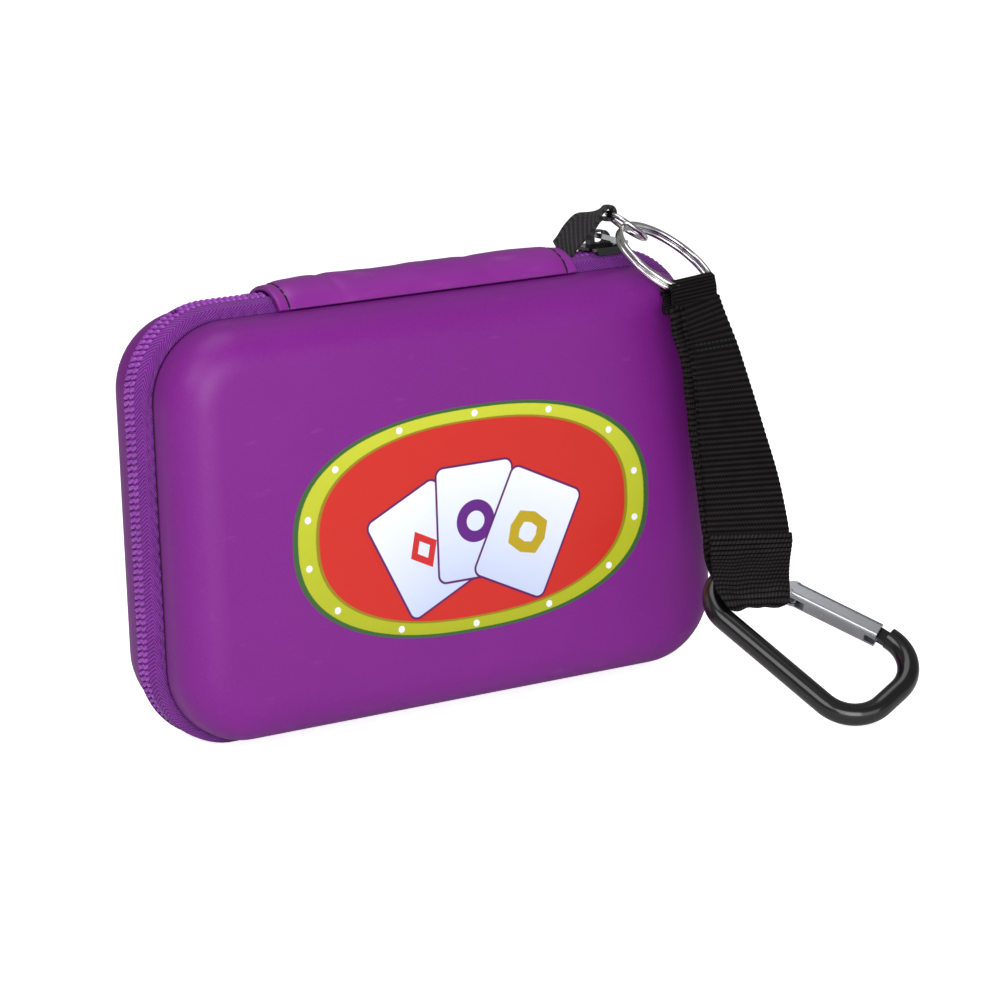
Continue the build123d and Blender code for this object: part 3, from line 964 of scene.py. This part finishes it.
def lining(name, facing, body, replaced):
    ring = outlineStations(corner=8, half=14, side=16)
    wall, floor, edge = inside["wall"], inside["floor"], inside["edge"]
    profile = [(inside["start"], wall), (floor - edge, wall)]
    for step in range(1, 8):
        turn = math.radians(90 * step / 8)
        profile.append((floor - edge + edge * math.sin(turn), wall + edge * (1 - math.cos(turn))))
    profile += [(floor, wall + edge), (floor - 0.05, wall + edge + 2.5)]
    piece = drawSheet(name, insideRows(ring, facing, profile), True, cap=True)
    thicken(piece, inside["thickness"], smooth=60)
    paint(piece, "knit")
    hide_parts(replaced)
    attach(piece, body)


def binding(name, facing, body, replaced):
    ring = outlineStations(corner=10, half=20, side=20)
    piece = drawSheet(name, insideRows(ring, facing, bindingTape["profile"]), True)
    thicken(piece, bindingTape["thickness"], bindingTape["bevel"])
    places = []
    depth, inset = bindingTape["stitchRow"]
    line = insideRow(facing * depth, inset)
    for point, along, outward in walkOutline(outlineStations(), line, bindingTape["stitchPitch"], 0.5):
        places.append(basis(point, Vector((0, -facing, 0)), -outward, along))
    model = stitch(bindingTape["stitchRadius"], bindingTape["stitchLength"])
    thread = copies(model, places, name + "_thread")
    paint(piece, "binding")
    paint(thread, "blackThread")
    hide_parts(replaced)
    for part in (piece, thread):
        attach(part, body)


lining("front_cloth", -1, "case", "front_lining")
lining("lid_cloth", 1, "lid", "back_lining")
binding("front_seam_tape", -1, "case", "front_binding")
binding("lid_seam_tape", 1, "lid", "back_binding")
print("linings")

# Tab: webbing that comes from under the strip, goes round the small ring and back under itself
tab = {
    "thickness": 0.85, "width": 8.6, "y": 0.8,
    "tilt": (0.12, 0.80, 0.56),
    "path": ((40.4, 103.1), (41.8, 104.4), (43.6, 106.6), (46.7, 109.1), (50.2, 110.9), (52.9, 112.2)),
    "under": ((51.6, 110.35), (49.6, 109.65), (47.4, 108.3)),
    "eye": (54.44, 0.82, 111.4), "eyeRadius": 1.62, "eyeStart": 105,
    "eyeTurn": 245, "slant": (0.347, 0.919, -0.185), "narrow": 4.7,
    "narrowReach": 9, "cup": 0.25, "columns": 9,
}


def ringTab():
    eye = Vector(tab["eye"])
    top, under = [[Vector((x, tab["y"], z)) for x, z in tab[key]] for key in ("path", "under")]
    rim = []
    for step in range(9):
        turn = math.radians(tab["eyeStart"] - tab["eyeTurn"] * step / 8)
        rim.append(eye + Vector((math.cos(turn), 0, math.sin(turn))) * tab["eyeRadius"])
    line = curveThrough(top + rim + under, 3)
    rows = []
    for index, point in enumerate(line):
        # The webbing turns and narrows as it comes near the ring
        near = max(0.0, 1 - (point - eye).length / tab["narrowReach"])
        near = near * near * (3 - 2 * near)
        across = mixed(Vector(tab["tilt"]), Vector(tab["slant"]), near).normalized()
        width = mixed(tab["width"], tab["narrow"], near)
        cup = tab["cup"] * (1 - near)
        ahead = (line[min(index + 1, len(line) - 1)] - line[max(index - 1, 0)]).normalized()
        outward = ahead.cross(across)
        row = []
        for column in range(tab["columns"]):
            share = column / (tab["columns"] - 1) - 0.5
            row.append(point + across * (share * width) - outward * (cup * 4 * share * share))
        rows.append(row)
    piece = drawSheet("tab_webbing", [list(column) for column in zip(*rows)])
    thicken(piece, tab["thickness"], edge=0.15)
    paint(piece, "tab")
    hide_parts("ring_tab")
    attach(piece, "case")


ringTab()
print("tab")

# Strap: one band folded double, from the pocket round the split ring down to the seam above the carabiner.
# Each place has the left and right edge of the front layer, and how far the back layer lies to the left
ringPlace = {
    "hang": (63.47, -23.42, 93.36), "down": (0.1045, -0.8294, -0.5489),
    "side": (0.945, 0.30, 0.0), "pocket": 1.95, "low": -0.3,
    "high": -3.3, "width": 16.4,
    "mouth": ((3.1, 1.3), (1.6, 1.6)),
    "slope": 0.7, "backShift": 1.2, "bend": (1.2, 4.2),
}
strap = {
    "thickness": 1.0, "gap": 0.66, "rib": 0.2,
    "columns": 21, "sewn": (2, 8), "sewnApart": 0.66,
    "stitches": 10, "stitchRadius": 0.2, "stitchLength": 1.75,
    "places": [
        ((54.4, -31.0, 92.6), (69.4, -23.4, 92.9), 3.6),
        ((53.8, -32.6, 88.3), (71.0, -23.4, 88.6), 3.2),
        ((54.4, -33.6, 83.2), (73.2, -24.8, 81.5), 2.7),
        ((55.0, -34.3, 78.4), (74.5, -25.7, 76.4), 2.3),
        ((55.5, -34.6, 71.0), (76.1, -27.6, 68.4), 2.0),
        ((55.7, -34.8, 62.9), (76.9, -30.6, 60.5), 1.6),
        ((56.1, -35.6, 51.9), (77.7, -35.0, 49.9), 1.0),
        ((55.7, -37.1, 42.5), (76.9, -39.6, 40.8), 0.6),
        ((55.3, -38.6, 37.9), (76.4, -41.4, 36.0), 0.4),
        ((55.1, -39.0, 34.6), (75.8, -41.8, 32.8), 0.3),
    ],
}


def smoothPlaces(places, steps):
    # Smooth lines through the left ends, the right ends and the numbers that go with them
    lefts, rights, numbers = zip(*places)
    ends = [curveThrough([Vector(p) for p in side], steps) for side in (lefts, rights)]
    return ends + [curveThrough(numbers, steps)]


def bandRow(left, right, lift, wave=0.0, seed=0.0):
    # Points over the band's width, lifted off its middle plane
    row = []
    for column in range(strap["columns"]):
        share = column / (strap["columns"] - 1)
        ripple = wave * noise.noise(Vector((share * 3.2, seed, 0.4)))
        row.append(mixed(left, right, share) + lift * (1.0 + ripple))
    return row


def ribbed(rows, pitch, depth):
    # The same band with a rib across it at every pitch, and the length at each row
    middle = len(rows[0]) // 2
    walked = walk([row[middle] for row in rows])
    made, marks = [], []
    index = 0
    for rib in range(int(walked[-1] / pitch)):
        for share, side in ((0.06, -0.5), (0.32, 0.5), (0.68, 0.5)):
            at = (rib + share) * pitch
            while walked[index + 1] < at:
                index += 1
            between = (at - walked[index]) / (walked[index + 1] - walked[index])
            row = [mixed(a, b, between) for a, b in zip(rows[index], rows[index + 1])]
            ahead = rows[index + 1][middle] - rows[index][middle]
            normal = ahead.cross(row[-1] - row[0]).normalized()
            made.append([point + normal * (side * depth) for point in row])
            marks.append(at)
    return made, marks


def webbing(name, rows):
    made, marks = ribbed(rows, webbingPitch, strap["rib"])
    piece = drawSheet(name, made, marks=marks)
    thicken(piece, strap["thickness"], smooth=60)
    paint(piece, "web")
    return piece


def slide(level):
    # The pocket's sides run nearly straight down in the photograph's view, and so it slides to the left
    return max(0.0, ringPlace["slope"] * (level - ringPlace["high"]))


def ringRow(level, spread, shift=0.0):
    # Row of the pocket round the split ring: how far down it lies, and how far it stands out
    hang, down, side = [Vector(ringPlace[key]) for key in ("hang", "down", "side")]
    half = side * (ringPlace["width"] / 2)
    middle = hang + down * level - side * (slide(level) + shift)
    return bandRow(middle - half, middle + half, down.cross(side).normalized() * spread)


def ringPocket():
    # Up in front of the ring, over it and down behind it
    mouth = ringPlace["mouth"]
    rim = (ringPlace["low"], ringPlace["pocket"])
    rows = [ringRow(level, spread) for level, spread in mouth + (rim,)]
    for step in range(9):
        turn = math.radians(180 * step / 8)
        level = ringPlace["high"] - ringPlace["pocket"] * math.sin(turn)
        rows.append(ringRow(level, ringPlace["pocket"] * math.cos(turn)))
    rows += [ringRow(level, -spread, ringPlace["backShift"]) for level, spread in (rim, mouth[1])]
    return rows


def strapLayers():
    # The front layer and the layer behind it, as rows from the ring down
    lefts, rights, slips = smoothPlaces(strap["places"], 6)
    front, back = [], []
    last = len(lefts) - 1
    for index, (left, right, slip) in enumerate(zip(lefts, rights, slips)):
        ahead = lefts[min(index + 1, last)] - lefts[max(index - 1, 0)]
        across = (right - left).normalized()
        normal = ahead.cross(across).normalized()
        lift = strap["gap"] + 0.12 * noise.noise(Vector((index / 5, 2, 0)))
        front.append(bandRow(left, right, normal * 0, wave=0.3, seed=index / 9))
        shift = across * -slip
        back.append(bandRow(left + shift, right + shift, normal * -2 * lift, wave=0.2, seed=index / 7 + 4))
    return front, back


def mainStrap():
    front, back = strapLayers()
    piece = webbing("strap_band", list(reversed(front)) + ringPocket() + back)
    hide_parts("strap_ring_fold", "strap_webbing")
    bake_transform(piece)


mainStrap()
print("strap")

# Lower pocket of the strap: from the seam in front of the carabiner's narrow end, through it and up again.
# Each place has the left and right ends of the band and how much it crumples
pocketPlaces = [
    ((55.3, -39.2, 39.3), (76.3, -42.4, 37.3), 0.0),
    ((54.9, -39.9, 37.0), (75.9, -43.2, 35.2), 0.05),
    ((53.9, -41.5, 33.9), (73.7, -45.6, 32.7), 0.2),
    ((51.8, -45.0, 31.6), (70.2, -50.0, 30.5), 0.3),
    ((50.9, -47.4, 29.1), (67.2, -54.2, 28.7), 0.45),
    ((50.8, -50.0, 27.0), (65.9, -56.0, 26.8), 0.6),
    ((52.4, -50.8, 24.9), (65.7, -55.6, 24.9), 0.6),
    ((55.5, -48.4, 23.5), (66.2, -51.2, 23.6), 0.5),
    ((57.2, -45.4, 23.0), (65.6, -47.0, 23.8), 0.35),
    ((57.4, -41.6, 24.8), (66.4, -42.8, 25.6), 0.25),
    ((56.0, -38.9, 28.8), (69.0, -40.1, 29.6), 0.15),
    ((54.8, -37.9, 33.4), (73.0, -40.4, 33.4), 0.1),
    ((54.8, -37.3, 39.0), (75.4, -40.1, 37.2), 0.0),
]


def lowerPocket():
    lefts, rights, waves = smoothPlaces(pocketPlaces, 4)
    rows = []
    for index, (left, right, crumple) in enumerate(zip(lefts, rights, waves)):
        ahead = lefts[min(index + 1, len(lefts) - 1)] - lefts[max(index - 1, 0)]
        normal = ahead.cross(right - left).normalized()
        row = []
        for column in range(strap["columns"]):
            share = column / (strap["columns"] - 1)
            ripple = noise.noise(Vector((share * 3.4, index / 9, 5.2))) + 0.5 * math.sin(share * 15 + 0.7)
            row.append(mixed(left, right, share) + normal * (crumple * ripple))
        rows.append(row)
    piece = webbing("strap_pocket", rows)
    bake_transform(piece)


def strapStitches():
    # Two rows across both layers, at the end of the ring's pocket and above the carabiner
    places = []
    count = strap["stitches"]
    for number in strap["sewn"]:
        left, right = [Vector(end) for end in strap["places"][number][:2]]
        above = Vector(strap["places"][number - 1][0])
        across = (right - left).normalized()
        along = (left - above).normalized()
        normal = along.cross(across).normalized()
        for row in (-strap["sewnApart"], strap["sewnApart"]):
            for step in range(count):
                share = 0.05 + 0.9 * (step + 0.5) / count
                for facing in (1, -1):
                    depth = 0.0 if facing > 0 else -2 * strap["gap"]
                    reach = facing * (strap["thickness"] / 2 + strap["rib"] / 2)
                    centre = mixed(left, right, share) + along * row + normal * (depth + reach)
                    places.append(basis(centre, along * facing, normal * facing, across))
    piece = copies(stitch(strap["stitchRadius"], strap["stitchLength"]), places, "strap_thread")
    paint(piece, "blackThread")
    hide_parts("strap_stitching")
    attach(piece, "strap")


lowerPocket()
strapStitches()
print("pocket")

# Floor, light and camera, in metres. Each light has its place, its size and its power
studio = {
    "floorZ": min(0.0, frameLow.z) - 0.0002, "floorSize": 16,
    "aim": (0, 0, 0.05), "world": 0.24,
    "key": ((-0.30, -0.80, 0.30), 0.5, 3.4),
    "fill": ((-0.05, -0.95, 0.05), 0.8, 3.6),
    "top": ((-0.10, 0.0, 1.0), 0.6, 2.4),
    "corner": ((-0.60, -0.40, 0.56), 0.45, 2.2),
}
# The camera of the photograph: its place, its axes and its lens
view = {
    "place": (-0.40122, -0.71660, 0.23855),
    "right": (0.86801, -0.49528, -0.03556), "up": (0.14024, 0.17581, 0.97438),
    "back": (-0.47634, -0.85076, 0.22207), "lens": 128.2, "sensor": 36.0,
    "shift": (0.0785, -0.0117),
}


def softLight(name, place, size, power):
    bpy.ops.object.light_add(type="AREA", location=place)
    light = bpy.context.object
    light.name = name
    light.data.size = size
    light.data.energy = power
    aim = Vector(studio["aim"]) - Vector(place)
    light.rotation_euler = aim.to_track_quat("-Z", "Y").to_euler()
    light.visible_camera = False


def floorFinish():
    # Pale paper that the camera sees brighter than it lights the object
    f = Finish("floor_paper", Roughness=0.8, Emission_Strength=0.84)
    f.colour(f.mix(f.noise(3, 3), (0.90, 0.90, 0.90, 1), (0.93, 0.93, 0.93, 1)))
    bright = f.mix(f.node("ShaderNodeLightPath"), (0, 0, 0, 1), (1, 1, 1, 1))
    f.put(f.shader.inputs["Emission Color"], bright)
    return f.material


def makeStudio():
    bpy.ops.object.select_all(action="DESELECT")
    bpy.ops.mesh.primitive_plane_add(size=studio["floorSize"], location=(0, 0, studio["floorZ"]))
    floor = bpy.context.object
    floor.name = "floor"
    floor.data.materials.append(floorFinish())
    for name in ("key", "fill", "top", "corner"):
        softLight(name, *studio[name])
    makeWorld()


def makeWorld():
    # White where the camera looks at it, and a soft grey for all that it lights
    world = bpy.data.worlds.new("studio")
    bpy.context.scene.world = world
    world.use_nodes = True
    tree = world.node_tree
    background = tree.nodes["Background"]
    background.inputs[0].default_value = (1, 1, 1, 1)
    path = tree.nodes.new("ShaderNodeLightPath")
    strength = tree.nodes.new("ShaderNodeMix")
    strength.inputs[2].default_value = studio["world"]
    strength.inputs[3].default_value = 1.0
    tree.links.new(path.outputs["Is Camera Ray"], strength.inputs[0])
    tree.links.new(strength.outputs[0], background.inputs[1])


def makeCamera():
    bpy.ops.object.camera_add(location=view["place"])
    camera = bpy.context.object
    turned = Matrix((view["right"], view["up"], view["back"])).transposed()
    camera.rotation_euler = turned.to_euler()
    camera.data.lens = view["lens"]
    camera.data.sensor_width = view["sensor"]
    camera.data.shift_x, camera.data.shift_y = view["shift"]
    camera.data.clip_start = 0.01
    bpy.context.scene.camera = camera


makeStudio()
makeCamera()
bpy.context.scene.view_settings.view_transform = "Standard"
print("studio")
